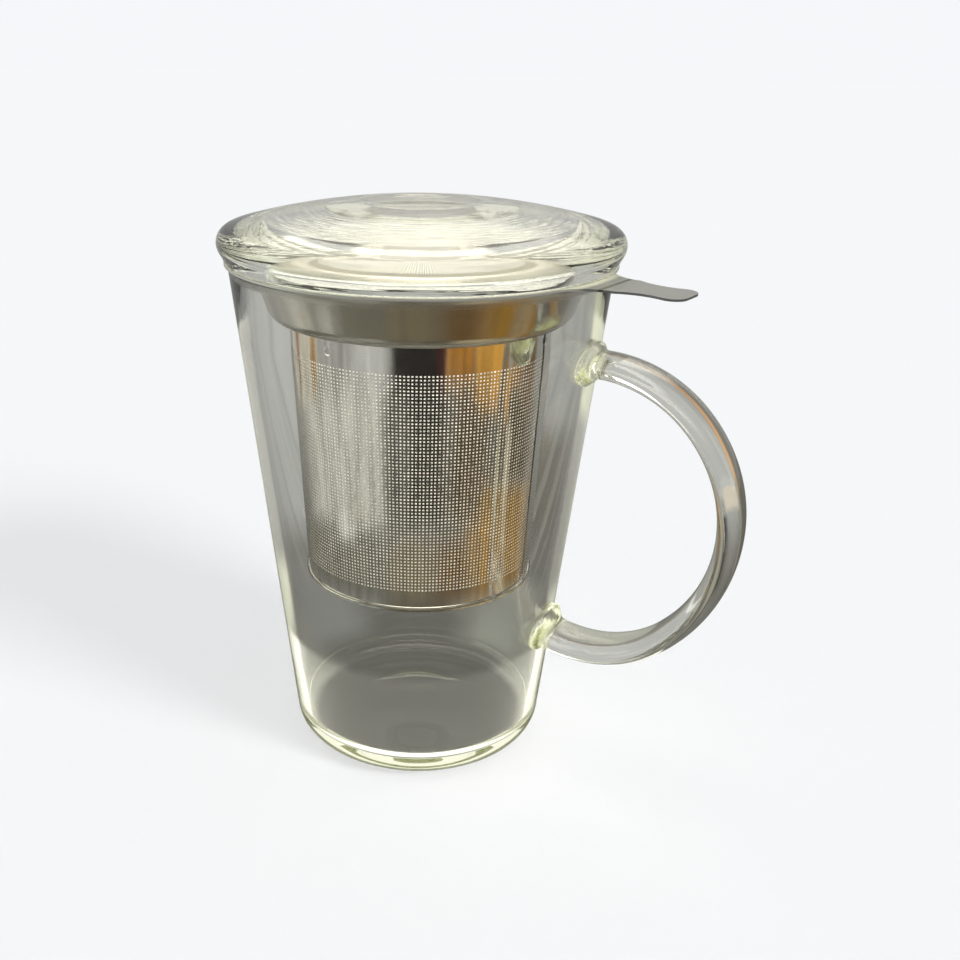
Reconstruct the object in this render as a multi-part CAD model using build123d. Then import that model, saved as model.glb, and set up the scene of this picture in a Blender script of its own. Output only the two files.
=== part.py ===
from build123d import *
from math import atan2, cos, degrees, radians, sin, sqrt
import os

# Clear glass tea mug with a lift-out steel infuser and a loose glass lid.
# Millimetres, +Z up. The origin is the centre of the foot that stands on the table,
# and the handle points along +X.

# Glass cup
cup_height = 123.5
rim_radius = 45.0
base_radius = 31.8
glass_wall = 2.4
rim_flat = 0.3
floor_thickness = 4.5
floor_round = 5.0
foot_round = 6.5
foot_ring = 6.3
punt_depth = 1.2

# Pulled glass handle and the two gobs that fuse it to the cup
handle_drop = 19.5
handle_bottom = 35.2
handle_out = 32.9
handle_width = 13.5
handle_thickness = 5.8
handle_top_rise = 6.0
handle_bottom_rise = 24.5
pad_overlap = 1.8
pad_stand = 1.6
pad_round = 1.1
weld_gap = 0.03

# Drawn steel collar with its resting flange and lift tab
sheet = 0.5
flange_overhang = 0.8
collar_gap = 1.9
collar_depth = 12.4
collar_narrowing = 4.7
collar_round = 3.6
flange_round = 1.2
shoulder_width = 4.4
neck_length = 6.0
neck_round = 0.9
tab_turn = -9.0
tab_neck = 13.6
tab_length = 14.9
tab_pinch = 1.9
tab_end = 15.0
tab_end_round = 3.2
tab_web_round = 9.0
tab_droop = 1.0

# Etched and rolled basket wall, welded along a lap seam
basket_length = 65.1
basket_narrowing = 3.3
seam_lead = 9.0
seam_lap = 5.0
spot_gap = 0.04

# Square holes etched through the wall and the base
hole_size = 2.4
hole_pitch = 4.8
mesh_margin = 5.0

# Pressed base of the basket
lip_height = 1.4
lip_round = 0.45

# Pressed glass lid
lid_overhang = 3.1
lid_foot_width = 7.4
lid_side = 6.4
lid_crown = 7.0
lid_edge_round = 3.4
lid_wall = 3.0
lid_ring_wall = 2.4
lid_ring_depth = 4.0
lid_ring_gap = 0.9
lid_ring_round = 0.9
lid_foot_round = 0.8
dish_radius = 14.0
dish_depth = 1.2
dish_round = 6.0
land_radius = 22.0

os.makedirs("parts", exist_ok=True)


def turned(profile, arc=360):
    return revolve(Plane.XZ * profile, Axis.Z, arc)


def outline(*points):
    return make_face(Polyline(*points, close=True))


def rounded(face, radius, *corners):
    picked = [face.vertices().sort_by_distance((x, y, 0))[0] for x, y in corners]
    return fillet(picked, radius)


def cup_radius(z):
    return base_radius + (rim_radius - base_radius) * z / cup_height


# The cup: a straight taper with a rounded foot, a thick floor and a shallow punt below
cup_bore = rim_radius - glass_wall
floor_bore = cup_radius(floor_thickness) - glass_wall
cup_profile = outline(
    (0, 0),
    (base_radius, 0),
    (rim_radius, cup_height),
    (cup_bore, cup_height),
    (floor_bore, floor_thickness),
    (0, floor_thickness),
)
cup_profile = rounded(cup_profile, foot_round, (base_radius, 0))
cup_profile = rounded(cup_profile, floor_round, (floor_bore, floor_thickness))
rim_round = (glass_wall - rim_flat) / 2
cup_profile = rounded(cup_profile, rim_round, (rim_radius, cup_height), (cup_bore, cup_height))
punt_radius = base_radius - foot_round - foot_ring
punt_arc = TangentArc((0, punt_depth), (punt_radius, 0), tangent=(1, 0))
punt_profile = make_face([punt_arc, Polyline((punt_radius, 0), (0, 0), (0, punt_depth))])
cup_body = turned(cup_profile - punt_profile)
cup_envelope = Pos(0, 0, cup_height / 2) * Cone(
    base_radius + weld_gap, rim_radius + weld_gap, cup_height
)


# The handle: a flattened rod along four tangent arcs, from weld to widest point to weld
def biarc(start, heading, end, arrival):
    span = end - start
    both = heading + arrival
    turn = 2 * (1 - heading.dot(arrival))
    along = span.dot(both)
    stretch = (sqrt(along**2 + turn * span.dot(span)) - along) / turn
    first_pole = start + heading * stretch
    last_pole = end - arrival * stretch
    middle = (first_pole + last_pole) / 2
    first = TangentArc(start, middle, tangent=heading)
    return first + TangentArc(middle, end, tangent=last_pole - first_pole)


def weld_point(z):
    return Vector(cup_radius(z) - glass_wall / 2, 0, z)


def heading(angle):
    return Vector(cos(radians(angle)), 0, sin(radians(angle)))


handle_top = cup_height - handle_drop
widest_point = Vector(rim_radius + handle_out, 0, (handle_top + handle_bottom) / 2)
leave_top = heading(handle_top_rise)
meet_bottom = heading(180 - handle_bottom_rise)
handle_path = biarc(weld_point(handle_top), leave_top, widest_point, Vector(0, 0, -1))
handle_path += biarc(widest_point, Vector(0, 0, -1), weld_point(handle_bottom), meet_bottom)


def rod(grow):
    section = Ellipse(handle_width / 2 + grow, handle_thickness / 2 + grow)
    start = Plane(handle_path @ 0, x_dir=(0, 1, 0), z_dir=handle_path % 0)
    return sweep(start * section, path=handle_path)


cup_handle = rod(0) - cup_envelope


# Each gob is an oval button on the wall, pressed round the end of the rod
def weld_pad(z, direction):
    wall_lean = degrees(atan2(rim_radius - base_radius, cup_height))
    seat = Plane(weld_point(z), x_dir=(0, 1, 0), z_dir=heading(-wall_lean))
    slant = abs(direction.dot(heading(90 - wall_lean)))
    lean = sqrt(1 - slant**2)
    half_width = handle_width / 2 + pad_overlap
    half_height = handle_thickness / 2 / lean + pad_overlap
    height = glass_wall / 2 + pad_stand
    button = extrude(seat * Ellipse(half_width, half_height), height)
    top_face = button.faces().sort_by(Axis(seat.origin, seat.z_dir))[-1]
    button = fillet(top_face.edges(), pad_round)
    return button - cup_envelope - rod(weld_gap)


handle_pad_upper = weld_pad(handle_top, leave_top)
handle_pad_lower = weld_pad(handle_bottom, meet_bottom)

# The collar: a flange on the cup's rim, a bowl below it and a neck for the basket wall
half_sheet = sheet / 2
flange_level = cup_height + half_sheet
flange_radius = rim_radius + flange_overhang
collar_top_radius = cup_bore - collar_gap
collar_bottom_radius = collar_top_radius - collar_narrowing
shoulder_level = cup_height - collar_depth
basket_top_radius = collar_bottom_radius - shoulder_width
basket_bottom = shoulder_level - basket_length


def basket_radius(z):
    return basket_top_radius - basket_narrowing * (shoulder_level - z) / basket_length


neck_inset = sheet + spot_gap + half_sheet
neck_end = shoulder_level - neck_length
collar_line = FilletPolyline(
    (flange_radius, flange_level),
    (collar_top_radius, flange_level),
    (collar_bottom_radius, shoulder_level + half_sheet),
    (basket_radius(shoulder_level) - neck_inset, shoulder_level + half_sheet),
    (basket_radius(neck_end) - neck_inset, neck_end),
    radius=[flange_round, collar_round, neck_round],
)
collar = turned(trace(collar_line, sheet))

# The tab: a web that runs off the flange, then a drooping tongue, pinched in and wider at its end
fillet_centre = tab_neck / 2 + tab_web_round
tab_bend = sqrt((flange_radius + tab_web_round) ** 2 - fillet_centre**2)
web = outline(
    (0, -tab_neck / 2),
    (tab_bend + sheet, -tab_neck / 2),
    (tab_bend + sheet, tab_neck / 2),
    (0, tab_neck / 2),
)
flange_disc = Circle(flange_radius) + web
root = sqrt(flange_radius**2 - (tab_neck / 2) ** 2)
flange_disc = rounded(flange_disc, tab_web_round, (root, tab_neck / 2), (root, -tab_neck / 2))
web = Pos(0, 0, cup_height) * extrude(flange_disc - Circle(collar_top_radius + flange_round), sheet)
tongue_root = (sheet, tab_neck / 2)
tongue_tip = (tab_length, tab_end / 2)
tongue_waist = (tab_length / 2, tab_neck / 2 - tab_pinch)
tongue_side = [
    Polyline((0, 0), (0, tab_neck / 2), tongue_root),
    ThreePointArc(tongue_root, tongue_waist, tongue_tip),
    Polyline(tongue_tip, (tab_length, 0), (0, 0)),
]
tongue = rounded(make_face(tongue_side), tab_end_round, tongue_tip)
tongue = tongue + mirror(tongue, Plane.XZ)
tongue = Pos(tab_bend, 0, cup_height) * Rot(0, tab_droop, 0) * extrude(tongue, sheet)
infuser_collar = Rot(0, 0, tab_turn) * (collar + web + tongue)

# The basket wall: a tapered sheet whose ends lap over each other at the seam
wall_foot = basket_bottom + half_sheet + lip_round
wall_top = shoulder_level + half_sheet - neck_round
lap_foot = basket_bottom + lip_height + spot_gap


def tapered_sheet(foot, inset):
    return outline(
        (basket_radius(foot) - inset, foot),
        (basket_radius(foot) - inset + sheet, foot),
        (basket_radius(wall_top) - inset + sheet, wall_top),
        (basket_radius(wall_top) - inset, wall_top),
    )


lap_angle = degrees(seam_lap / basket_top_radius)
lap = Rot(0, 0, seam_lead) * turned(tapered_sheet(lap_foot, 0), lap_angle)
wall = turned(tapered_sheet(wall_foot, sheet)) + lap

# Its mesh: columns of square holes from the foot's plain band up to the neck, and none in the lap
mesh_foot = basket_bottom + mesh_margin
hole_rows = int((neck_end - mesh_foot) / hole_pitch)
hole_columns = int(radians(360 - lap_angle) * basket_top_radius / hole_pitch)
hole_turn = (360 - lap_angle) / hole_columns
punch_depth = 4 * sheet
wall_punch = Box(punch_depth, hole_size, hole_size)
wall_holes = []
for row in range(hole_rows):
    z = mesh_foot + (row + 0.5) * hole_pitch
    for column in range(hole_columns):
        angle = seam_lead + lap_angle + (column + 0.5) * hole_turn
        wall_holes.append(Rot(0, 0, angle) * Pos(basket_radius(z), 0, z) * wall_punch)
infuser_wall = Rot(0, 0, tab_turn) * (wall - wall_holes)

# The base: a disc with an upturned lip round the foot of the wall
lip_radius = basket_radius(basket_bottom + lip_height) + spot_gap + half_sheet
base_line = FilletPolyline(
    (0, basket_bottom + half_sheet),
    (lip_radius, basket_bottom + half_sheet),
    (lip_radius, basket_bottom + lip_height),
    radius=lip_round,
)
base_disc = turned(trace(base_line, sheet))

# Its mesh: the same holes on a square grid, inside a plain band along the lip
base_mesh_radius = basket_radius(basket_bottom) - mesh_margin
grid_count = 2 * int(base_mesh_radius / hole_pitch) + 1
grid = GridLocations(hole_pitch, hole_pitch, grid_count, grid_count)
base_punch = Pos(0, 0, basket_bottom) * Box(hole_size, hole_size, punch_depth)
base_holes = [spot * base_punch for spot in grid if spot.position.length < base_mesh_radius]
infuser_base = Rot(0, 0, tab_turn) * (base_disc - base_holes)

# The lid: a crown over a thick edge, a foot on the flange and a ring inside the collar
seat_level = cup_height + sheet
side_level = seat_level + lid_side
crown_level = side_level + lid_crown
bowl_slope = collar_narrowing / collar_depth
ring_radius = collar_top_radius - half_sheet - bowl_slope * lid_ring_depth - lid_ring_gap
lid_foot_radius = ring_radius + lid_foot_width
lid_radius = flange_radius + lid_overhang
ring_bore = ring_radius - lid_ring_wall
ring_end = seat_level - lid_ring_depth
crown_radius = (lid_radius**2 + lid_crown**2) / (2 * lid_crown)
crown_centre = crown_level - crown_radius


def crown(r, depth=0):
    return crown_centre + sqrt((crown_radius - depth) ** 2 - r**2)


dish_edge = (dish_radius, crown(dish_radius))
edge_heading = (crown(dish_radius) - crown_centre, -dish_radius)
land_level = crown(land_radius, lid_wall)
land_heading = (land_level - crown_centre, -land_radius)
ring_top = (ring_bore, crown(ring_bore, lid_wall))
lid_profile = make_face(
    [
        TangentArc((0, crown(dish_radius) - dish_depth), dish_edge, tangent=(1, 0)),
        TangentArc(dish_edge, (lid_radius, side_level), tangent=edge_heading),
        Polyline(
            (lid_radius, side_level),
            (lid_foot_radius, seat_level),
            (ring_radius, seat_level),
            (ring_radius, ring_end),
            (ring_bore, ring_end),
            ring_top,
        ),
        TangentArc((land_radius, land_level), ring_top, tangent=land_heading),
        Polyline(
            (land_radius, land_level),
            (0, land_level),
            (0, crown(dish_radius) - dish_depth),
        ),
    ]
)
lid_profile = rounded(lid_profile, dish_round, dish_edge)
lid_profile = rounded(lid_profile, lid_edge_round, (lid_radius, side_level))
lid_profile = rounded(lid_profile, lid_foot_round, (lid_foot_radius, seat_level))
lid_profile = rounded(lid_profile, lid_ring_round, (ring_radius, ring_end), (ring_bore, ring_end))
lid = turned(lid_profile)

for name, shape in {
    "cup_body": cup_body,
    "cup_handle": cup_handle,
    "handle_pad_upper": handle_pad_upper,
    "handle_pad_lower": handle_pad_lower,
    "infuser_collar": infuser_collar,
    "infuser_wall": infuser_wall,
    "infuser_base": infuser_base,
    "lid": lid,
}.items():
    export_step(shape, f"parts/{name}.step")
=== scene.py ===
import math
import bpy
from mathutils import Matrix, Vector


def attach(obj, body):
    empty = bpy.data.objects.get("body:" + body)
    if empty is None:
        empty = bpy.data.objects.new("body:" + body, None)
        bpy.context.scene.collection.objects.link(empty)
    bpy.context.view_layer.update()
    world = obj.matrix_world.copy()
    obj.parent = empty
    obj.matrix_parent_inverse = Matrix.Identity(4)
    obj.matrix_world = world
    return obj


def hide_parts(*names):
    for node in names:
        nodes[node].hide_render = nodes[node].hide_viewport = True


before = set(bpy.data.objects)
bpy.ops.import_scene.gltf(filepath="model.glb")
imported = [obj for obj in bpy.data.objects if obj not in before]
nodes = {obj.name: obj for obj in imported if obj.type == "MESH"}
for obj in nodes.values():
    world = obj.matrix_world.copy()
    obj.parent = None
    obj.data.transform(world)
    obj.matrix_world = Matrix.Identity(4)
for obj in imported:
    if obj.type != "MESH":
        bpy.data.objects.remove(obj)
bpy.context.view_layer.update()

print("frame loaded:", sorted(nodes))


# small shader kit
class Wire:  # one output socket; sums and products of wires add Math nodes
    def __init__(self, finish, socket):
        self.finish = finish
        self.socket = socket

    def maths(self, operation, a, b=0.0):
        return self.finish.add("ShaderNodeMath", {"operation": operation}, {0: a, 1: b})

    def __add__(self, other):
        return self.maths("ADD", self, other)

    def __radd__(self, other):
        return self.maths("ADD", other, self)

    def __sub__(self, other):
        return self.maths("SUBTRACT", self, other)

    def __rsub__(self, other):
        return self.maths("SUBTRACT", other, self)

    def __mul__(self, other):
        return self.maths("MULTIPLY", self, other)

    def __rmul__(self, other):
        return self.maths("MULTIPLY", other, self)

    def __truediv__(self, other):
        return self.maths("DIVIDE", self, other)

    def __pow__(self, other):
        return self.maths("POWER", self, other)

    def __abs__(self):
        return self.maths("ABSOLUTE", self)


class Finish:  # a material and the nodes added to it
    def __init__(self, name):
        self.material = bpy.data.materials.new(name)
        self.material.use_nodes = True
        self.tree = self.material.node_tree
        self.tree.nodes.clear()

    def add(self, kind, settings=None, values=None, out=0):
        node = self.tree.nodes.new(kind)
        for key, value in (settings or {}).items():
            setattr(node, key, value)
        for key, value in (values or {}).items():
            if isinstance(value, Wire):
                self.tree.links.new(value.socket, node.inputs[key])
            else:
                node.inputs[key].default_value = value
        return Wire(self, node.outputs[out]) if node.outputs else node

    def place(self):  # object coordinates as x, y, z
        here = self.add("ShaderNodeTexCoord", out="Object")
        return [self.add("ShaderNodeSeparateXYZ", {}, {0: here}, out=i) for i in range(3)]

    def vector(self, x, y, z):
        return self.add("ShaderNodeCombineXYZ", {}, {0: x, 1: y, 2: z})

    def around(self, x, y):  # cosine and sine of the turn, for patterns that run round the axis
        turn = self.add("ShaderNodeMath", {"operation": "ARCTAN2"}, {0: y, 1: x})
        east = self.add("ShaderNodeMath", {"operation": "COSINE"}, {0: turn})
        north = self.add("ShaderNodeMath", {"operation": "SINE"}, {0: turn})
        return east, north

    def noise(self, vector, scale, detail=2.0, rough=0.5):
        return self.add("ShaderNodeTexNoise", {}, {
            "Vector": vector, "Scale": scale, "Detail": detail, "Roughness": rough})

    def ease(self, value, low, high):  # 0 below low, 1 above high, smooth between
        return self.add("ShaderNodeMapRange", {"interpolation_type": "SMOOTHSTEP"}, {
            "Value": value, "From Min": low, "From Max": high})

    def band(self, value, low, high, soft):  # 1 from low to high, with soft ends
        rise = self.ease(value, low - soft, low + soft)
        return rise * (1 - self.ease(value, high - soft, high + soft))

    def mix(self, factor, a, b):
        return self.add("ShaderNodeMix", {"data_type": "RGBA"}, {0: factor, 6: a, 7: b}, out=2)

    def bump(self, height, distance, strength):
        return self.add("ShaderNodeBump", {}, {
            "Height": height, "Distance": distance, "Strength": strength})

    def close(self, values, volume=None):  # the surface shader, and absorption inside glass
        surface = self.add("ShaderNodeBsdfPrincipled", {}, values)
        inner = {"Surface": surface}
        if volume:
            inner["Volume"] = self.add("ShaderNodeVolumeAbsorption", {}, volume)
        self.add("ShaderNodeOutputMaterial", {}, inner)
        return self.material


def length(x, y):
    return (x * x + y * y) ** 0.5


# glass
glassLook = {
    "ior": 1.47,
    "clear": (0.985, 0.99, 0.98, 1),
    "film": (0.955, 0.965, 0.945, 1),
    "gob": (0.96, 0.98, 0.74, 1),
    "depthTint": (0.85, 0.90, 0.60, 1),  # seen edge on
    "depthDensity": 5.0,
}


def closeGlass(shade, colour, rough, normal):
    surface = {
        "Base Color": colour, "Roughness": rough, "Normal": normal,
        "Transmission Weight": 1.0, "IOR": glassLook["ior"],
    }
    return shade.close(surface, {"Color": glassLook["depthTint"], "Density": glassLook["depthDensity"]})


cupMarks = {
    "wave": 55.0, "waveStretch": 0.35, "cord": 210.0, "cordStretch": 0.04, "wipe": 38.0, "wipeStretch": 0.5,
    "haze": (0.55, 0.78), "drops": 95.0, "dropEdge": (0.025, 0.045), "dropZone": (0.5, 0.56),
    "groundRim": (0.1208, 0.1218), "bump": (0.0006, 0.12),
}


def makeCupGlass(m):
    shade = Finish("cupGlass")
    x, y, z = shade.place()
    # slow waves of blown glass, stretched up the wall
    wave = shade.noise(shade.vector(x, y, z * m["waveStretch"]), m["wave"], 1.0)
    cord = shade.noise(shade.vector(x, y, z * m["cordStretch"]), m["cord"], 2.0)
    wipe = shade.noise(shade.vector(x, y, z * m["wipeStretch"]), m["wipe"], 3.0, 0.6)
    haze = shade.ease(wipe, *m["haze"])
    drops = shade.add("ShaderNodeTexVoronoi", {"feature": "F1"}, {
        "Vector": shade.vector(x, y, z), "Scale": m["drops"]})
    speck = (1 - shade.ease(drops, *m["dropEdge"])) * shade.ease(wipe, *m["dropZone"])
    colour = shade.mix(haze * 0.5, glassLook["clear"], glassLook["film"])
    rim = shade.ease(z, *m["groundRim"])
    rough = haze * 0.012 + speck * 0.35 + rim * 0.28
    height = wave * 0.7 + cord * 0.12 + speck * 0.02
    return closeGlass(shade, colour, rough, shade.bump(height, *m["bump"]))


handleMarks = {
    "bendX": 0.042, "bendZ": 0.070, "pull": 420.0, "pullDrift": 0.03, "sway": 60.0,
    "touch": 130.0, "touched": (0.56, 0.8), "gobEdge": (0.0018, 0.0040), "fold": 420.0,
    "bump": (0.0007, 0.35),
}


def makeHandleGlass(m):
    shade = Finish("handleGlass")
    x, y, z = shade.place()
    # pull lines follow the bend of the rod, so they hang on the distance from its middle
    dx = x - m["bendX"]
    dz = z - m["bendZ"]
    pull = shade.noise(shade.vector(length(dx, dz), y, (dx + dz) * m["pullDrift"]), m["pull"], 2.0)
    sway = shade.noise(shade.vector(x, y, z), m["sway"], 1.0)
    touch = shade.ease(shade.noise(shade.vector(x, y, z), m["touch"], 3.0, 0.6), *m["touched"])
    colour = shade.mix(touch * 0.5, glassLook["clear"], glassLook["film"])
    # the gobs at the wall are folded and greener
    wall = cupSizes["baseRadius"] + z * math.tan(cupLean)
    gob = 1 - shade.ease(length(x, y) - wall, *m["gobEdge"])
    fold = shade.noise(shade.vector(x, y, z), m["fold"], 2.0, 0.55)
    colour = shade.mix(gob, colour, glassLook["gob"])
    height = pull * 0.35 + sway + gob * fold * 0.5
    rough = touch * 0.02 + gob * 0.14
    return closeGlass(shade, colour, rough, shade.bump(height, *m["bump"]))


lidMarks = {
    "rings": 900.0, "ringDrift": 0.8, "swell": 48.0, "wipe": 70.0, "wiped": (0.55, 0.8),
    "bump": (0.0006, 0.4),
}


def makeLidGlass(m):
    shade = Finish("lidGlass")
    x, y, z = shade.place()
    east, north = shade.around(x, y)
    # chill rings of the press: fine in the radius, slow round the lid
    path = shade.vector(length(x, y) * m["rings"], east * m["ringDrift"], north * m["ringDrift"])
    ring = shade.noise(path, 1.0, 2.0, 0.6)
    swell = shade.noise(shade.vector(x, y, z), m["swell"], 1.0)
    wipe = shade.ease(shade.noise(shade.vector(x, y, z), m["wipe"], 3.0, 0.6), *m["wiped"])
    colour = shade.mix(wipe * 0.5, glassLook["clear"], glassLook["film"])
    height = ring * 0.22 + swell * 0.8
    return closeGlass(shade, colour, wipe * 0.02, shade.bump(height, *m["bump"]))


# steel
collarLook = {
    "plain": (0.70, 0.69, 0.65, 1), "warm": (0.62, 0.58, 0.50, 1), "dark": (0.44, 0.42, 0.39, 1),
    # the flange colour is paler steel: a painted highlight where the flange catches light
    "inside": (0.62, 0.60, 0.54, 1), "flange": (0.88, 0.87, 0.82, 1),
    # the tab colour is painted shade: the same steel made dark grey to stand in for its dim reflection
    "tab": (0.215, 0.220, 0.230, 1), "shadedCrease": (0.05, 0.05, 0.05, 1),
}
collarMarks = {
    "polish": 5200.0, "polishDrift": 2.0, "cloudTurn": 3.0, "cloudLift": 60.0,
    "stains": 85.0, "stained": (0.5, 0.78), "coneLevel": 0.11135, "coneSlope": 0.379,
    "insideEdge": (0.0359, 0.0361), "flangeEdge": (0.0412, 0.0420), "tabEdge": (0.0465, 0.0485),
    "tabTurn": -9, "shadedCrease": 0.0504, "creaseEdge": (0.0002, 0.0008), "bump": (0.0002, 0.25),
}


def makeCollarSteel(m):
    shade = Finish("collarSteel")
    x, y, z = shade.place()
    reach = length(x, y)
    east, north = shade.around(x, y)
    # polishing lines run round the collar and across the tab
    path = shade.vector(reach * m["polish"], z * m["polish"], east * m["polishDrift"])
    across = shade.noise(path, 1.0, 2.0, 0.6)
    path = shade.vector(east * m["cloudTurn"], north * m["cloudTurn"], z * m["cloudLift"])
    slow = shade.noise(path, 1.0, 2.0)
    stain = shade.ease(shade.noise(shade.vector(x, y, z), m["stains"], 4.0, 0.6), *m["stained"])
    tone = shade.mix(slow, collarLook["plain"], collarLook["warm"])
    tone = shade.mix(stain * 0.4, tone, collarLook["dark"])
    inside = 1 - shade.ease(reach - (z - m["coneLevel"]) * m["coneSlope"], *m["insideEdge"])
    # painted highlight: the flange is painted paler, as if catching light, and is also rougher
    flange = shade.ease(reach, *m["flangeEdge"])
    tone = shade.mix(inside, tone, collarLook["inside"])
    tone = shade.mix(flange, tone, collarLook["flange"])
    # painted shade: the tab is painted much darker than the rest of the steel, and is also rougher
    tab = shade.ease(reach, *m["tabEdge"])
    tabTurn = math.radians(m["tabTurn"])
    along = x * math.cos(tabTurn) + y * math.sin(tabTurn)
    # painted shadow: a near-black line darkens the crease at the tab's root; the groove is a bump
    shadedCrease = 1 - shade.ease(abs(along - m["shadedCrease"]), *m["creaseEdge"])
    tone = shade.mix(tab * 0.9, tone, collarLook["tab"])
    tone = shade.mix(shadedCrease * 0.8, tone, collarLook["shadedCrease"])
    rough = 0.10 + across * 0.10 + stain * 0.07 + tab * 0.10 + inside * 0.25 + flange * 0.14
    height = across * 0.15 - shadedCrease
    return shade.close({
        "Base Color": tone, "Metallic": 1 - inside * 0.45, "Roughness": rough,
        "Normal": shade.bump(height, *m["bump"])})


basketLooks = {
    "basketSteel": {"tone": (0.74, 0.73, 0.70, 1), "rough": 0.05, "spread": 0.06, "metal": 1.0},
    # the inner face is matt and painted paler than the outer steel: painted light that brightens the inside
    # seen through the holes
    "basketInsidePaintedLight": {"tone": (0.93, 0.915, 0.87, 1), "rough": 0.62, "spread": 0.12, "metal": 0.2},
    "screenSteel": {"tone": (0.70, 0.685, 0.645, 1), "rough": 0.50, "spread": 0.12, "metal": 0.25},
}
basketMarks = {
    "grain": 4200.0, "grainDrift": 6.0, "stains": 120.0, "stained": (0.52, 0.8), "bump": (0.0002, 0.6),
    "stain": (0.70, 0.66, 0.58, 1), "weld": (0.52, 0.51, 0.49, 1),
}
spotWelds = {"angles": (-103, 0, 97, 187), "height": 0.1077, "radius": 0.0011, "wall": 0.0314}


def makeBasketSteel(name, look, m, welds):
    shade = Finish(name)
    x, y, z = shade.place()
    east, north = shade.around(x, y)
    # rolling lines round the sheet, faint stains where tea has dried
    path = shade.vector(east * m["grainDrift"], north * m["grainDrift"], z * m["grain"])
    grain = shade.noise(path, 1.0, 2.0, 0.6)
    cloud = shade.noise(shade.vector(x, y, z), m["stains"], 3.0, 0.55)
    stain = shade.ease(cloud, *m["stained"])
    tone = shade.mix(stain * 0.4, look["tone"], m["stain"])
    rough = look["rough"] + grain * look["spread"] + stain * look["spread"]
    height = grain * 0.05
    for angle in welds["angles"]:
        a = math.radians(angle)
        off = (x - welds["wall"] * math.cos(a)) ** 2 + (y - welds["wall"] * math.sin(a)) ** 2
        away = (off + (z - welds["height"]) ** 2) ** 0.5
        dent = 1 - shade.ease(away, welds["radius"] * 0.55, welds["radius"])
        height = height - dent
        tone = shade.mix(dent * 0.35, tone, m["weld"])
    return shade.close({
        "Base Color": tone, "Metallic": look["metal"], "Roughness": rough,
        "Normal": shade.bump(height, *m["bump"])})


basketSteels = {
    name: makeBasketSteel(name, look, basketMarks, spotWelds) for name, look in basketLooks.items()}


def dress(node, finish):
    nodes[node].data.materials.clear()
    nodes[node].data.materials.append(finish)


dress("lid", makeLidGlass(lidMarks))
dress("infuser_collar", makeCollarSteel(collarMarks))
print("lid and collar dressed")


# modelling helpers
def startPiece(name):
    piece = bpy.context.active_object
    piece.name = name
    piece.data.name = name
    bpy.ops.object.transform_apply(location=True, rotation=True, scale=True)
    return piece


def clearPick():
    if bpy.context.object and bpy.context.object.mode != "OBJECT":
        bpy.ops.object.mode_set(mode="OBJECT")
    bpy.ops.object.select_all(action="DESELECT")


def pickPiece(piece):
    clearPick()
    piece.select_set(True)
    bpy.context.view_layer.objects.active = piece


def pick(piece, kind, test):  # selects the faces or edges that pass the test, in edit mode
    bpy.ops.object.mode_set(mode="EDIT")
    bpy.ops.mesh.select_mode(type=kind)
    bpy.ops.mesh.select_all(action="DESELECT")
    bpy.ops.object.mode_set(mode="OBJECT")
    mesh = piece.data
    if kind == "FACE":
        for face in mesh.polygons:
            face.select = test(face.center)
    else:
        for edge in mesh.edges:
            a, b = (mesh.vertices[i].co for i in edge.vertices)
            edge.select = test(a, b)
    bpy.ops.object.mode_set(mode="EDIT")


def weldAll(distance):  # in edit mode
    bpy.ops.mesh.select_all(action="SELECT")
    bpy.ops.mesh.remove_doubles(threshold=distance)


def turnOut():  # in edit mode
    bpy.ops.mesh.select_all(action="SELECT")
    bpy.ops.mesh.normals_make_consistent(inside=False)


def degreesOf(point):
    return math.degrees(math.atan2(point.y, point.x)) % 360


def addAndApply(piece, name, kind, settings):
    modifier = piece.modifiers.new(name, kind)
    for key, value in settings.items():
        setattr(modifier, key, value)
    bpy.ops.object.modifier_apply(modifier=modifier.name)


def smoothBy(degrees):
    bpy.ops.object.shade_smooth_by_angle(angle=math.radians(degrees))


def thicken(piece, thickness, inside):  # inwards; inside is the inner face's material
    addAndApply(piece, "sheet", "SOLIDIFY", {
        "thickness": thickness, "offset": -1, "material_offset": inside, "material_offset_rim": 0})
    smoothBy(30)


def finishInfuser(piece, node):
    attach(piece, "infuser")
    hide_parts(node)
    print(piece.name + ":", len(piece.data.polygons), "faces")


# the cup, turned with far more sides than the solid's mesh, because glass shows every facet
cupSizes = {
    "height": 0.1235, "rimRadius": 0.0450, "baseRadius": 0.0318, "wall": 0.0024, "rimFlat": 0.0003,
    "floor": 0.0045, "floorRound": 0.0050, "footRound": 0.0065, "footRing": 0.0063, "punt": 0.0012,
    "sides": 288, "wallRings": 8, "footRings": 20, "lipRings": 10, "bowlRings": 16,
    "centre": 0.001, "weld": 0.000001, "smooth": 40,
}
cupLean = math.atan2(cupSizes["rimRadius"] - cupSizes["baseRadius"], cupSizes["height"])


def arcPoints(x, z, radius, start, end, steps):  # angles in degrees, from start to end
    turns = [math.radians(start + (end - start) * i / steps) for i in range(steps + 1)]
    return [(x + radius * math.cos(a), z + radius * math.sin(a)) for a in turns]


def linePoints(start, end, steps):  # the places between two ends, without the ends
    shares = [i / steps for i in range(1, steps)]
    return [(start[0] + (end[0] - start[0]) * t, start[1] + (end[1] - start[1]) * t) for t in shares]


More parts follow.
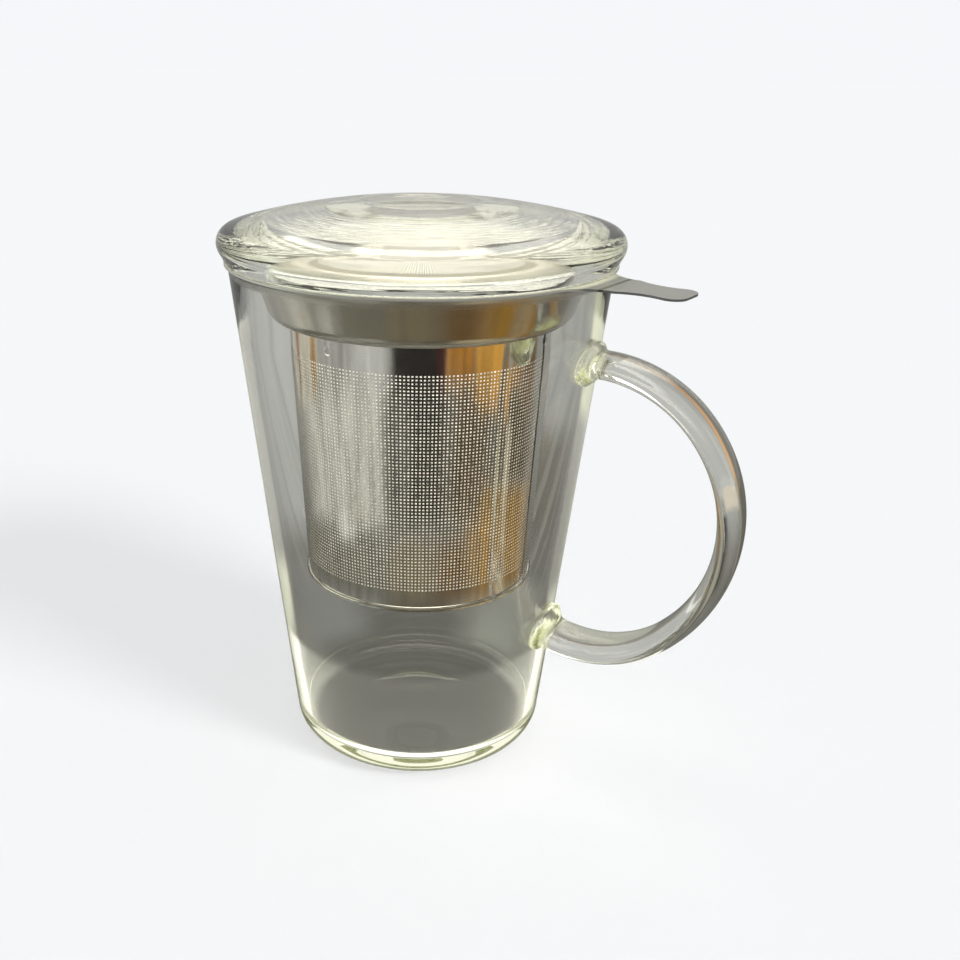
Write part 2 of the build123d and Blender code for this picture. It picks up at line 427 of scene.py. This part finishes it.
def cupOutline(s):
    tilt = math.degrees(cupLean)
    slant = math.cos(cupLean)

    def outer(z):
        return s["baseRadius"] + z * math.tan(cupLean)

    puntRadius = s["baseRadius"] - s["footRound"] - s["footRing"]
    ball = (puntRadius ** 2 + s["punt"] ** 2) / (2 * s["punt"])
    rimRound = (s["wall"] - s["rimFlat"]) / 2
    rimLevel = s["height"] - rimRound
    floorLevel = s["floor"] + s["floorRound"]
    hollow = [s["centre"]] + [puntRadius * share for share in (0.25, 0.5, 0.75, 1.0)]
    under = [(r, s["punt"] - ball + math.sqrt(ball ** 2 - r ** 2)) for r in hollow]
    footX = outer(s["footRound"]) - s["footRound"] / slant
    foot = arcPoints(footX, s["footRound"], s["footRound"], -90, -tilt, s["footRings"])
    rimX = outer(rimLevel) - rimRound / slant
    lip = arcPoints(rimX, rimLevel, rimRound, -tilt, 90, s["lipRings"])
    innerRimX = outer(rimLevel) - s["wall"] + rimRound / slant
    lip += arcPoints(innerRimX, rimLevel, rimRound, 90, 180 - tilt, s["lipRings"])
    floorX = outer(floorLevel) - s["wall"] - s["floorRound"] / slant
    bowl = arcPoints(floorX, floorLevel, s["floorRound"], -tilt, -90, s["bowlRings"])
    middle = [(bowl[-1][0] * share, s["floor"]) for share in (0.75, 0.5, 0.25)]
    outside = linePoints(foot[-1], lip[0], s["wallRings"])
    inside = linePoints(lip[-1], bowl[0], s["wallRings"])
    return under + foot + outside + lip + inside + bowl + middle + [(s["centre"], s["floor"])]


def makeTurned(name, outline, s):
    clearPick()
    radius, level = outline[0]
    bpy.ops.mesh.primitive_circle_add(vertices=s["sides"], radius=radius, location=(0, 0, level))
    piece = startPiece(name)
    bpy.ops.object.mode_set(mode="EDIT")
    bpy.ops.mesh.select_mode(type="EDGE")
    bpy.ops.mesh.select_all(action="SELECT")
    bpy.ops.mesh.extrude_region_move()
    bpy.ops.mesh.merge(type="CENTER")
    near = radius * 0.9
    pick(piece, "EDGE", lambda a, b: min(a.xy.length, b.xy.length) > near)
    for nextRadius, nextLevel in outline[1:]:  # ring after ring along the outline
        bpy.ops.mesh.extrude_region_move(TRANSFORM_OT_translate={"value": (0, 0, nextLevel - level)})
        grow = nextRadius / radius
        bpy.ops.transform.resize(value=(grow, grow, 1), center_override=(0, 0, nextLevel))
        radius, level = nextRadius, nextLevel
    bpy.ops.mesh.extrude_region_move()
    bpy.ops.mesh.merge(type="CENTER")
    weldAll(s["weld"])
    turnOut()
    bpy.ops.object.mode_set(mode="OBJECT")
    smoothBy(s["smooth"])
    return piece


def makeCup(s):
    cup = makeTurned("glassCup", cupOutline(s), s)
    cup.data.materials.append(makeCupGlass(cupMarks))
    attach(cup, "cup")
    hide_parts("cup_body")
    print("cup:", len(cup.data.polygons), "faces")


makeCup(cupSizes)

# basket wall with its etched mesh
wallSizes = {
    "foot": 0.0467, "top": 0.11045, "footRadius": 0.028336, "topRadius": 0.031567,
    "meshFoot": 0.0511, "meshTop": 0.1049, "columns": 444, "rows": 129, "blocks": 3, "upright": 0.01,
    "seamEnd": 10.0, "lapEnd": 9.0, "halfEnd": 185.0, "sheet": 0.00016, "lapLift": 1.2,
}


def makeBasketWall(s):
    clearPick()
    bpy.ops.mesh.primitive_cone_add(
        vertices=s["columns"], radius1=s["footRadius"], radius2=s["topRadius"],
        depth=s["top"] - s["foot"], end_fill_type="NOTHING", location=(0, 0, (s["top"] + s["foot"]) / 2))
    wall = startPiece("basketWall")
    bpy.ops.object.mode_set(mode="EDIT")
    for level in (s["meshFoot"], s["meshTop"]):
        bpy.ops.mesh.select_all(action="SELECT")
        bpy.ops.mesh.bisect(plane_co=(0, 0, level), plane_no=(0, 0, 1))
    step = (s["meshTop"] - s["meshFoot"]) / s["rows"]
    turnStep = 360 / s["columns"]

    def inMesh(z):
        return s["meshFoot"] < z < s["meshTop"]

    def isUpright(a, b):
        return abs(a.z - b.z) > s["upright"] and inMesh((a.z + b.z) / 2)

    def isHole(c):
        row = int((c.z - s["meshFoot"]) / step)
        column = int(degreesOf(c) / turnStep)
        return inMesh(c.z) and row % 2 == 1 and column % 2 == 0 and degreesOf(c) >= s["seamEnd"]

    for parts in (s["blocks"], s["rows"] // s["blocks"]):  # one go can make 100 cuts at most
        pick(wall, "EDGE", isUpright)
        bpy.ops.mesh.subdivide(number_cuts=parts - 1)
    pick(wall, "FACE", isHole)
    bpy.ops.mesh.delete(type="FACE")
    # the far end of the sheet laps over the seam
    pick(wall, "FACE", lambda c: degreesOf(c) < s["lapEnd"])
    bpy.ops.mesh.duplicate()
    bpy.ops.transform.shrink_fatten(value=s["sheet"] * s["lapLift"])
    turnOut()
    # two halves, because one mesh would have too many faces
    pick(wall, "FACE", lambda c: degreesOf(c) > s["halfEnd"])
    bpy.ops.mesh.separate(type="SELECTED")
    bpy.ops.object.mode_set(mode="OBJECT")
    half = next(piece for piece in bpy.context.selected_objects if piece is not wall)
    half.name = "basketWallHalf"
    half.data.name = half.name
    for piece in (wall, half):
        pickPiece(piece)
        piece.data.materials.append(basketSteels["basketSteel"])
        piece.data.materials.append(basketSteels["basketInsidePaintedLight"])
        thicken(piece, s["sheet"], 1)
        finishInfuser(piece, "infuser_wall")


makeBasketWall(wallSizes)

# basket base: a pressed ring with a thin lip, and the etched screen that lies on it
baseSizes = {
    "level": 0.046, "radius": 0.02891, "bore": 0.0226, "lip": 0.0009, "corner": 0.0004, "sheet": 0.0003,
    "sides": 180, "cornerRings": 4, "near": 0.0001,
    "cell": 0.00042, "cells": 114, "meshRadius": 0.0222, "screenRadius": 0.0236, "screen": 0.00016,
}


def makeBasketBase(s):
    clearPick()
    bpy.ops.mesh.primitive_circle_add(vertices=s["sides"], radius=s["bore"], location=(0, 0, s["level"]))
    base = startPiece("basketBase")
    bpy.ops.object.mode_set(mode="EDIT")
    bpy.ops.mesh.select_mode(type="EDGE")
    bpy.ops.mesh.select_all(action="SELECT")
    widen = s["radius"] / s["bore"]
    bpy.ops.mesh.extrude_region_move()
    bpy.ops.transform.resize(value=(widen, widen, 1), center_override=(0, 0, s["level"]))
    bpy.ops.mesh.extrude_region_move(TRANSFORM_OT_translate={"value": (0, 0, s["lip"])})

    def isCorner(a, b):
        outer = min(a.xy.length, b.xy.length) > s["radius"] - s["near"]
        return outer and max(a.z, b.z) < s["level"] + s["near"]

    pick(base, "EDGE", isCorner)
    bpy.ops.mesh.bevel(offset=s["corner"], segments=s["cornerRings"])
    turnOut()
    bpy.ops.object.mode_set(mode="OBJECT")
    if base.data.polygons[0].normal.z > 0:  # the ring's outside faces the table
        base.data.flip_normals()
    base.data.materials.append(basketSteels["basketSteel"])
    base.data.materials.append(basketSteels["basketInsidePaintedLight"])
    thicken(base, s["sheet"], 1)
    finishInfuser(base, "infuser_base")


def makeBasketScreen(s):
    clearPick()
    level = s["level"] + s["sheet"] + s["screen"]
    width = s["cells"] * s["cell"]
    bpy.ops.mesh.primitive_grid_add(
        x_subdivisions=s["cells"], y_subdivisions=s["cells"], size=width, location=(0, 0, level))
    screen = startPiece("basketScreen")

    def isGone(c):
        away = c.xy.length
        column = int((c.x + width / 2) / s["cell"])
        row = int((c.y + width / 2) / s["cell"])
        return away > s["screenRadius"] or (away < s["meshRadius"] and row % 2 == 1 and column % 2 == 1)

    pick(screen, "FACE", isGone)
    bpy.ops.mesh.delete(type="FACE")
    bpy.ops.object.mode_set(mode="OBJECT")
    screen.data.materials.append(basketSteels["screenSteel"])
    thicken(screen, s["screen"], 0)
    finishInfuser(screen, "infuser_base")


makeBasketBase(baseSizes)
makeBasketScreen(baseSizes)

# handle: the rod and the two gobs run together as one glass
handleSizes = {
    "gap": 0.00003, "welds": (0.1040, 0.0352), "lens": (0.0031, 0.0083, 0.0046),
    "lensSides": 64, "lensRings": 32, "beadSides": 96, "beadRings": 16,
    "bead": 0.00105, "beadWidth": 0.0081, "beadHeight": 0.0045,
    "rodWeld": 0.000002, "voxel": 0.0003, "flow": 0.5, "smoothing": 14,
    "cupSides": 360, "seatWeld": 0.00001, "smooth": 35,
}


def addGob(s, level):  # a lens of glass with a bead round it, lying on the wall
    place = (cupSizes["baseRadius"] + level * math.tan(cupLean), 0, level)
    clearPick()
    bpy.ops.mesh.primitive_uv_sphere_add(
        segments=s["lensSides"], ring_count=s["lensRings"], radius=1, scale=s["lens"],
        location=place, rotation=(0, cupLean, 0))
    lens = startPiece("gobLens")
    clearPick()
    bpy.ops.mesh.primitive_torus_add(
        major_segments=s["beadSides"], minor_segments=s["beadRings"],
        major_radius=s["beadWidth"], minor_radius=s["bead"],
        location=place, rotation=(0, math.pi / 2 + cupLean, 0))
    bpy.context.active_object.scale = (s["beadHeight"] / s["beadWidth"], 1, 1)
    return [lens, startPiece("gobBead")]


def makeHandle(s):
    clearPick()
    rod = nodes["cup_handle"].copy()
    rod.data = nodes["cup_handle"].data.copy()
    bpy.context.collection.objects.link(rod)
    rod.parent = None
    pickPiece(rod)
    bpy.ops.object.mode_set(mode="EDIT")
    weldAll(s["rodWeld"])
    gobs = [gob for level in s["welds"] for gob in addGob(s, level)]
    pickPiece(rod)
    for gob in gobs:
        gob.select_set(True)
    bpy.ops.object.join()
    handle = startPiece("glassHandle")
    addAndApply(handle, "fuse", "REMESH", {"mode": "VOXEL", "voxel_size": s["voxel"]})
    addAndApply(handle, "flow", "SMOOTH", {"factor": s["flow"], "iterations": s["smoothing"]})
    bpy.ops.mesh.primitive_cone_add(
        vertices=s["cupSides"], radius1=cupSizes["baseRadius"] + s["gap"],
        radius2=cupSizes["rimRadius"] + s["gap"], depth=cupSizes["height"],
        location=(0, 0, cupSizes["height"] / 2))
    cup = startPiece("cupForm")
    pickPiece(handle)
    addAndApply(handle, "seat", "BOOLEAN", {"operation": "DIFFERENCE", "object": cup, "solver": "EXACT"})
    bpy.data.objects.remove(cup)
    bpy.ops.object.mode_set(mode="EDIT")
    weldAll(s["seatWeld"])  # slivers of the cut
    bpy.ops.mesh.quads_convert_to_tris(quad_method="BEAUTY", ngon_method="BEAUTY")
    turnOut()
    bpy.ops.object.mode_set(mode="OBJECT")
    handle.data.materials.clear()
    handle.data.materials.append(makeHandleGlass(handleMarks))
    smoothBy(s["smooth"])
    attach(handle, "cup")
    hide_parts("cup_handle", "handle_pad_upper", "handle_pad_lower")
    print("handle:", len(handle.data.polygons), "faces")


makeHandle(handleSizes)

# camera at the photograph's place
shot = {
    "turn": 27.0, "away": 0.2588, "height": 0.1706, "pitch": 21.67, "roll": 0.51,
    "lens": 41.25, "sensor": 36, "shift": 0.063, "nearest": 0.01,
}
turnAngle = math.radians(shot["turn"])
eye = (shot["away"] * math.sin(turnAngle), -shot["away"] * math.cos(turnAngle), shot["height"])
bpy.ops.object.camera_add()
camera = bpy.context.active_object
camera.matrix_world = (
    Matrix.Translation(eye)
    @ Matrix.Rotation(turnAngle, 4, "Z")
    @ Matrix.Rotation(math.radians(90 - shot["pitch"]), 4, "X")
    @ Matrix.Rotation(math.radians(shot["roll"]), 4, "Z"))
camera.data.sensor_width = shot["sensor"]
camera.data.lens = shot["lens"]
camera.data.shift_x = shot["shift"]
camera.data.clip_start = shot["nearest"]
bpy.context.scene.camera = camera
print("camera set")

# studio: a pale floor, and a hidden stage that only the glass and the steel show
paleLook = {
    "colour": (0.912, 0.930, 0.947, 1), "glow": 0.495, "paint": (0.35, 0.35, 0.35, 1),
    "cream": (1.2, 1.18, 1.03, 1), "dimCream": (0.24, 0.23, 0.21, 1), "creamShare": 0.9,
    "floorSize": 12, "floorLevel": -0.0003,
}


def seenBy(thing, rays):
    for ray in ("camera", "glossy", "transmission", "diffuse", "shadow"):
        setattr(thing, "visible_" + ray, ray in rays)


def makeFloor(look):
    clearPick()
    bpy.ops.mesh.primitive_plane_add(size=look["floorSize"], location=(0, 0, look["floorLevel"]))
    floor = startPiece("paleFloor")
    shade = Finish("paleFloor")
    paint = shade.add("ShaderNodeBsdfPrincipled", {}, {
        "Base Color": look["paint"], "Roughness": 1.0, "Specular IOR Level": 0.0,
        "Emission Color": look["colour"], "Emission Strength": look["glow"]})
    below = shade.add("ShaderNodeNewGeometry", out="Backfacing")  # clear from below, to show the foot
    clear = shade.add("ShaderNodeBsdfTransparent")
    sheet = shade.add("ShaderNodeMixShader", {}, {0: below, 1: paint, 2: clear})
    shade.add("ShaderNodeOutputMaterial", {}, {"Surface": sheet})
    floor.data.materials.append(shade.material)
    seenBy(floor, ("camera",))


def inDegrees(angle):
    return angle * (180 / math.pi)


def stageBearing(shade, x, y):  # degrees round from the camera's side, right positive
    side = x * math.cos(turnAngle) + y * math.sin(turnAngle)
    near = x * math.sin(turnAngle) - y * math.cos(turnAngle)
    return inDegrees(shade.add("ShaderNodeMath", {"operation": "ARCTAN2"}, {0: side, 1: near}))


def glow(shade, colour):
    light = shade.add("ShaderNodeEmission", {}, {"Color": colour})
    shade.add("ShaderNodeOutputMaterial", {}, {"Surface": light})
    return shade.material


def atLeast(shade, depth, count):  # 0 below the count, 1 from it on
    return shade.ease(depth, count - 0.8, count - 0.2)


def crossed(shade, count):  # 1 for light that went through at least this many glass faces
    return atLeast(shade, shade.add("ShaderNodeLightPath", out="Transmission Depth"), count)


def scattered(shade):  # how often matt faces threw the light back
    return shade.add("ShaderNodeLightPath", out="Diffuse Depth")


def thrown(shade, count):  # 1 for light that steel or glass threw back at least this often
    shine = shade.add("ShaderNodeLightPath", out="Glossy Depth")
    return atLeast(shade, shine + scattered(shade), count)


def piped(shade, tone, cream):  # light led along inside thick glass comes out cream at the edges
    return shade.mix(thrown(shade, 3) * paleLook["creamShare"], tone, cream)


tableLook = {
    "size": 8, "level": -0.0006, "sway": 22, "swayScale": 9.0,
    "near": (0.128, 0.124, 0.109, 1), "middle": (0.36, 0.36, 0.342, 1), "far": (0.50, 0.50, 0.48, 1),
    "middleEdge": (0.03, 0.30), "farEdge": (0.5, 1.0),
    "smearTurn": 0.21, "smearReach": 9.0, "smearEdge": (0.36, 0.64), "shadow": 0.55,
    "cordTurn": 0.4, "cordReach": 1.5, "cordLayer": 4.0, "cordZone": (0.07, 0.12), "cordShare": 0.24,
    "paleCord": (0.60, 0.59, 0.53, 1), "paleEdge": (0.50, 0.70),
    "darkCord": (0.12, 0.115, 0.10, 1), "darkEdge": (0.30, 0.48),
}
# each patch: bearing from, to, soft, reach from, to, soft, colour
tablePatches = {
    "straight": (
        (-160, -128, 9, 0.047, 0.11, 0.010, (0.24, 0.24, 0.225, 1)),
        (128, 160, 9, 0.040, 0.09, 0.010, (0.28, 0.28, 0.24, 1)),
        (-168, -100, 8, 0.13, 0.70, 0.03, (0.47, 0.47, 0.45, 1)),
        (138, 172, 8, 0.12, 0.24, 0.03, (0.15, 0.135, 0.105, 1)),
        (112, 136, 8, 0.09, 0.70, 0.05, (0.36, 0.34, 0.27, 1)),
        (-125, 125, 15, 0.0300, 0.080, 0.0025, (0.42, 0.42, 0.35, 1)),
    ),
    "handleEdge": (
        (138, 158, 5, 0.180, 0.240, 0.012, (0.66, 0.36, 0.15, 1)),
    ),
    "faceShine": (
        (-80, 140, 20, 0.10, 0.60, 0.03, (0.07, 0.065, 0.055, 1)),
    ),
    "turnedBack": (
        (-175, -115, 8, 0.12, 0.70, 0.05, (0.33, 0.33, 0.31, 1)),
        (-178, -115, 8, 0.045, 0.11, 0.012, (0.80, 0.82, 0.60, 1)),
        (120, 178, 8, 0.040, 0.09, 0.010, (0.80, 0.82, 0.62, 1)),
        (130, 178, 6, 0.255, 0.60, 0.02, (0.88, 0.90, 0.66, 1)),
        (-125, 125, 15, 0.0260, 0.065, 0.0025, (1.6, 1.58, 1.36, 1)),
        (-80, 80, 20, 0.11, 0.34, 0.02, (0.07, 0.065, 0.055, 1)),
        (-180, -120, 8, 0.90, 3.9, 0.20, (0.85, 0.85, 0.80, 1)),
        (85, 115, 8, 0.35, 0.90, 0.05, (0.64, 0.57, 0.47, 1)),
    ),
    "thrownBack": (
        # seen in the plain band below the mesh
        (-125, -30, 10, 0.05, 0.100, 0.010, (0.55, 0.55, 0.50, 1)),
        (-26, 28, 12, 0.05, 0.100, 0.010, (0.13, 0.108, 0.072, 1)),
        (34, 110, 12, 0.05, 0.100, 0.010, (0.82, 0.68, 0.43, 1)),
        # in the collar and the lowest rows of holes
        (-130, -24, 18, 0.105, 0.140, 0.012, (0.26, 0.25, 0.20, 1)),
        (-24, 14, 16, 0.105, 0.140, 0.012, (0.31, 0.25, 0.145, 1)),
        (14, 48, 14, 0.105, 0.140, 0.012, (0.21, 0.10, 0.010, 1)),
        (48, 112, 14, 0.105, 0.180, 0.012, (0.50, 0.25, 0.012, 1)),
        # in the rows above them
        (-116, -30, 10, 0.150, 0.286, 0.010, (0.86, 0.85, 0.78, 1)),
        (-78, -58, 5, 0.138, 0.156, 0.006, (1.10, 1.10, 1.05, 1)),
        (-30, -14, 8, 0.150, 0.286, 0.010, (0.15, 0.14, 0.12, 1)),
        (-14, 24, 9, 0.150, 0.286, 0.010, (0.045, 0.036, 0.030, 1)),
        (24, 62, 12, 0.150, 0.286, 0.010, (0.14, 0.092, 0.050, 1)),
        (62, 112, 14, 0.185, 0.286, 0.010, (0.13, 0.09, 0.05, 1)),
        (76, 83, 2, 0.110, 0.240, 0.020, (0.80, 0.70, 0.50, 1)),
        (46, 68, 6, 0.258, 0.292, 0.006, (0.95, 0.48, 0.08, 1)),
        # in the plain band above the mesh
        (-142, -94, 6, 0.27, 0.42, 0.02, (0.85, 0.80, 0.66, 1)),
        (-132, -126, 3, 0.28, 0.40, 0.02, (0.45, 0.22, 0.16, 1)),
        (-104, -99, 2, 0.28, 0.40, 0.02, (0.75, 0.42, 0.16, 1)),
        (-94, -62, 6, 0.27, 0.42, 0.02, (0.62, 0.61, 0.58, 1)),
        (-58, -28, 7, 0.27, 0.42, 0.02, (0.95, 0.95, 0.92, 1)),
        (-24, 20, 4, 0.27, 0.46, 0.02, (0.012, 0.009, 0.010, 1)),
        (12, 21, 2, 0.27, 0.46, 0.02, (0.060, 0.008, 0.012, 1)),
        (21, 46, 3, 0.287, 0.44, 0.006, (0.66, 0.28, 0.03, 1)),
        (46, 76, 3, 0.287, 0.44, 0.006, (0.95, 0.48, 0.08, 1)),
        (76, 98, 5, 0.287, 0.44, 0.006, (0.45, 0.22, 0.05, 1)),
        (98, 112, 4, 0.26, 0.42, 0.02, (0.22, 0.13, 0.06, 1)),
        (-125, 125, 20, 0.60, 3.90, 0.06, (0.95, 0.96, 0.86, 1)),
    ),
}


def makeTable(look):
    clearPick()
    bpy.ops.mesh.primitive_plane_add(size=look["size"], location=(0, 0, look["level"]))
    table = startPiece("roomTable")
    shade = Finish("roomTable")
    x, y = shade.place()[:2]
    reach = length(x, y)
    straightBearing = stageBearing(shade, x, y)
    sway = shade.noise(shade.vector(x, y, 0.0), look["swayScale"], 3.0, 0.6) - 0.5
    bearing = straightBearing + sway * look["sway"]
    tone = shade.mix(shade.ease(reach, *look["middleEdge"]), look["near"], look["middle"])
    tone = shade.mix(shade.ease(reach, *look["farEdge"]), tone, look["far"])
    path = shade.vector(bearing * look["smearTurn"], reach * look["smearReach"], 0.0)
    streak = shade.ease(shade.noise(path, 1.0, 3.0, 0.6), *look["smearEdge"])
    back = thrown(shade, 1)
    manyGlasses = crossed(shade, 3)
    oneGlass = crossed(shade, 1) * (1 - manyGlasses)
    shares = {
        "straight": 1 - back,
        "handleEdge": oneGlass * (1 - back),
        "faceShine": back * (1 - crossed(shade, 1)),
        "turnedBack": oneGlass * back,
        "thrownBack": manyGlasses * back,
    }
    for group, patches in tablePatches.items():
        for left, right, sideSoft, near, far, reachSoft, colour in patches:
            mask = shade.band(bearing, left, right, sideSoft) * shade.band(reach, near, far, reachSoft)
            if group == "thrownBack":
                shadow = (*(part * look["shadow"] for part in colour[:3]), 1)
                colour = shade.mix(streak, shadow, colour)
            tone = shade.mix(mask * shares[group], tone, colour)
    # upright streaks in the two walls
    through = (1 - back) * manyGlasses * shade.ease(reach, *look["cordZone"])
    path = shade.vector(straightBearing * look["cordTurn"], reach * look["cordReach"], look["cordLayer"])
    cords = shade.noise(path, 1.0, 1.0)
    paleCord = through * shade.ease(cords, *look["paleEdge"]) * look["cordShare"]
    darkCord = through * (1 - shade.ease(cords, *look["darkEdge"])) * look["cordShare"]
    tone = shade.mix(paleCord, tone, look["paleCord"])
    tone = shade.mix(darkCord, tone, look["darkCord"])
    cream = shade.mix(manyGlasses, paleLook["cream"], paleLook["dimCream"])
    table.data.materials.append(glow(shade, piped(shade, tone, cream)))
    seenBy(table, ("glossy", "transmission"))


shellSizes = {"sides": 64, "rings": 32, "slatTurn": 0.012, "slatLift": 0.55, "slatEdge": (0.38, 0.62)}


def startShell(name, radius, s):  # a sphere, its bearing and lift in degrees, and soft slats of light
    clearPick()
    bpy.ops.mesh.primitive_uv_sphere_add(
        segments=s["sides"], ring_count=s["rings"], radius=radius, location=(0, 0, 0))
    shell = startPiece(name)
    shade = Finish(name)
    x, y, z = shade.place()
    bearing = stageBearing(shade, x, y)
    lift = inDegrees(shade.add("ShaderNodeMath", {"operation": "ARCSINE"}, {0: z / radius}))
    path = shade.vector(bearing * s["slatTurn"], lift * s["slatLift"], 0.0)
    slats = shade.ease(shade.noise(path, 1.0, 2.0, 0.6), *s["slatEdge"])
    return shell, shade, bearing, lift, slats


# bands are from, to, soft in degrees; edges are from, to
roomLook = {
    "radius": 3.0, "low": (0.45, 0.45, 0.435, 1), "high": (0.50, 0.50, 0.485, 1), "rise": (0, 40),
    "steelShade": (0.13, 0.128, 0.115, 1), "shadeEdge": (30, 50),
    "boxDim": (3.4, 3.3, 2.9, 1), "boxBright": (5.4, 5.2, 4.6, 1),
    "boxSide": (14, 62), "boxLift": (30, 72, 9),
    "overhead": (5.5, 5.35, 4.9, 1), "overheadEdge": (58, 70),
    "slanting": (12.0, 11.6, 10.5, 1), "slantRise": (22, 40), "slantFall": (56, 66),
    "steep": (3.4, 3.3, 3.0, 1),
    "leftPane": (1.7, 1.75, 1.5, 1), "leftSide": (-112, -62, 6), "leftLift": (-6, 34, 5),
    "rightPane": (1.5, 1.52, 1.2, 1), "rightSide": (88, 112, 6), "rightLift": (-2, 30, 5),
}


def makeRoom(look):
    room, shade, bearing, lift, slats = startShell("roomShell", look["radius"], shellSizes)
    tone = shade.mix(shade.ease(lift, *look["rise"]), look["low"], look["high"])
    mirrored = thrown(shade, 1)
    steel = crossed(shade, 3) * mirrored * (1 - shade.ease(lift, *look["shadeEdge"]))
    tone = shade.mix(steel, tone, look["steelShade"])
    softBox = (1 - shade.ease(abs(bearing), *look["boxSide"])) * shade.band(lift, *look["boxLift"]) * mirrored
    tone = shade.mix(softBox, tone, shade.mix(slats, look["boxDim"], look["boxBright"]))
    tone = shade.mix(shade.ease(lift, *look["overheadEdge"]) * mirrored, tone, look["overhead"])
    # the basket's matt inside is lit mostly from the slant
    matt = atLeast(shade, scattered(shade), 1)
    steep = shade.ease(lift, *look["slantFall"])
    slanting = shade.ease(lift, *look["slantRise"]) * (1 - steep)
    tone = shade.mix(matt * slanting, tone, look["slanting"])
    tone = shade.mix(matt * steep, tone, look["steep"])
    leftPane = shade.band(bearing, *look["leftSide"]) * shade.band(lift, *look["leftLift"])
    tone = shade.mix(leftPane, tone, look["leftPane"])
    rightPane = shade.band(bearing, *look["rightSide"]) * shade.band(lift, *look["rightLift"])
    tone = shade.mix(rightPane * (1 - crossed(shade, 1)), tone, look["rightPane"])
    room.data.materials.append(glow(shade, piped(shade, tone, paleLook["cream"])))
    seenBy(room, ("glossy", "transmission"))


windowLook = {
    "radius": 2.8, "dim": (1.0, 0.98, 0.86, 1), "bright": (2.6, 2.5, 2.15, 1), "behind": (128, 148),
    "topLift": (26, 62, 4), "lidLift": (5, 50, 3), "lidShare": 0.7,
}


def makeWindow(look):  # slatted light from behind, seen only as a gleam on the lid
    window, shade, bearing, lift, slats = startShell("roomWindow", look["radius"], shellSizes)
    tone = shade.mix(slats, look["dim"], look["bright"])
    behind = shade.ease(abs(bearing), *look["behind"])
    onTop = (1 - crossed(shade, 1)) * shade.band(lift, *look["topLift"])
    inLid = look["lidShare"] * crossed(shade, 3) * (1 - thrown(shade, 1)) * shade.band(lift, *look["lidLift"])
    light = shade.add("ShaderNodeEmission", {}, {"Color": tone})
    clear = shade.add("ShaderNodeBsdfTransparent")
    pane = shade.add("ShaderNodeMixShader", {}, {0: behind * (onTop + inLid), 1: clear, 2: light})
    shade.add("ShaderNodeOutputMaterial", {}, {"Surface": pane})
    window.data.materials.append(shade.material)
    seenBy(window, ("glossy", "transmission"))


makeFloor(paleLook)
makeTable(tableLook)
makeRoom(roomLook)
makeWindow(windowLook)

world = bpy.data.worlds.new("paleWorld")
world.use_nodes = True
world.node_tree.nodes["Background"].inputs[0].default_value = paleLook["colour"]
bpy.context.scene.world = world

keyLight = {"energy": 2.3, "size": 18.0, "from": (0.99, -0.14, 0.70)}
bpy.ops.object.light_add(type="SUN")
key = bpy.context.active_object
key.name = "softKey"
key.data.energy = keyLight["energy"]
key.data.angle = math.radians(keyLight["size"])
key.rotation_mode = "QUATERNION"
key.rotation_quaternion = Vector(keyLight["from"]).to_track_quat("Z", "Y")
key.visible_glossy = False
key.visible_transmission = False

scene = bpy.context.scene
scene.view_settings.view_transform = "Standard"
scene.cycles.max_bounces = 64
scene.cycles.transmission_bounces = 32
scene.cycles.glossy_bounces = 60
scene.cycles.sample_clamp_indirect = 8.0
scene.cycles.use_denoising = True
print("studio lit")
